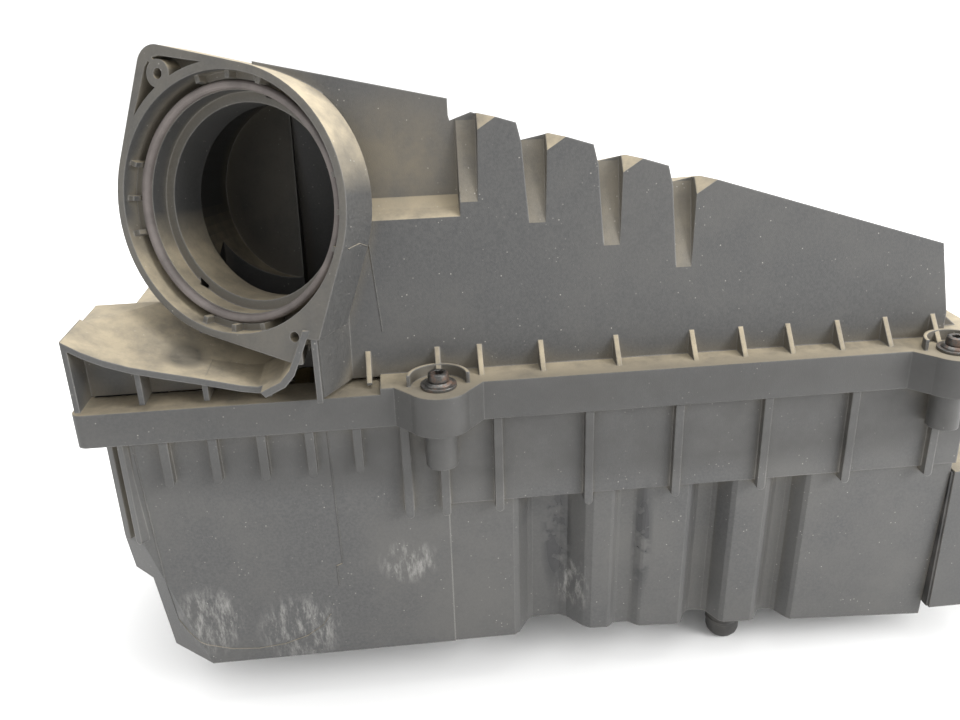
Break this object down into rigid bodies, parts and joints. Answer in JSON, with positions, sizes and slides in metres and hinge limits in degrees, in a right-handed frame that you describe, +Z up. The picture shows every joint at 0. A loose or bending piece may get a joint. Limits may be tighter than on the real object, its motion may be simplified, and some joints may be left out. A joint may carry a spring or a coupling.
{
  "type": "air filter housing",
  "caption": "Moulded air filter housing: screwed domed cover with a round flanged outlet, deep ribbed box with side intake and drain, pleated panel element inside.",
  "frame": {"origin": "under the middle of the housing's box, on the surface its feet stand on", "axes": "+X along the housing towards the intake spigot, +Y from the outlet side to the back, +Z up"},
  "size_m": [0.4124, 0.195, 0.2764],
  "materials": {
    "shell_plastic": "fine grained, dusty",
    "pale_rubber": "dusty",
    "black_rubber": "matte",
    "screw_steel": "dark plated, worn",
    "washer_steel": "dark plated, dusty",
    "filter_paper": "pleated resin paper",
    "gasket_foam": "moulded foam",
    "band_fleece": "felted"
  },
  "bodies": {
    "box": {"lower_box": "shell_plastic", "intake_adaptor": "shell_plastic", "intake_seal": "black_rubber", "drain_valve": "black_rubber", "grommet_left": "black_rubber", "grommet_right_front": "black_rubber", "grommet_right_rear": "black_rubber"},
    "cover": {"upper_cover": "shell_plastic", "outlet_seal": "pale_rubber"},
    "element": {"filter_pleats": "filter_paper", "filter_gasket": "gasket_foam", "filter_edge_bands": "band_fleece"},
    "screw_front_left": {"cover_screw_front_left": "screw_steel", "flat_washer_front_left": "washer_steel", "spring_washer_front_left": "washer_steel"},
    "screw_front_right": {"cover_screw_front_right": "screw_steel", "flat_washer_front_right": "washer_steel", "spring_washer_front_right": "washer_steel"},
    "screw_rear_left": {"cover_screw_rear_left": "screw_steel", "flat_washer_rear_left": "washer_steel", "spring_washer_rear_left": "washer_steel"},
    "screw_rear_middle": {"cover_screw_rear_middle": "screw_steel", "flat_washer_rear_middle": "washer_steel", "spring_washer_rear_middle": "washer_steel"},
    "screw_rear_right": {"cover_screw_rear_right": "screw_steel", "flat_washer_rear_right": "washer_steel", "spring_washer_rear_right": "washer_steel"}
  },
  "joints": [
    {"name": "cover_lift", "type": "slide", "parent": "box", "child": "cover", "axis": [0, 0, 1], "range_m": [0, 0.14]},
    {"name": "element_lift", "type": "slide", "parent": "box", "child": "element", "axis": [0, 0, 1], "range_m": [0, 0.07]},
    {"name": "screw_front_left_release", "type": "slide", "parent": "cover", "child": "screw_front_left", "axis": [0, 0, 1], "range_m": [0, 0.014]},
    {"name": "screw_front_right_release", "type": "slide", "parent": "cover", "child": "screw_front_right", "axis": [0, 0, 1], "range_m": [0, 0.014]},
    {"name": "screw_rear_left_release", "type": "slide", "parent": "cover", "child": "screw_rear_left", "axis": [0, 0, 1], "range_m": [0, 0.014]},
    {"name": "screw_rear_middle_release", "type": "slide", "parent": "cover", "child": "screw_rear_middle", "axis": [0, 0, 1], "range_m": [0, 0.014]},
    {"name": "screw_rear_right_release", "type": "slide", "parent": "cover", "child": "screw_rear_right", "axis": [0, 0, 1], "range_m": [0, 0.014]}
  ],
  "couplings": [
    {"joint": "element_lift", "follows": "cover_lift", "ratio": 0.5}
  ]
}
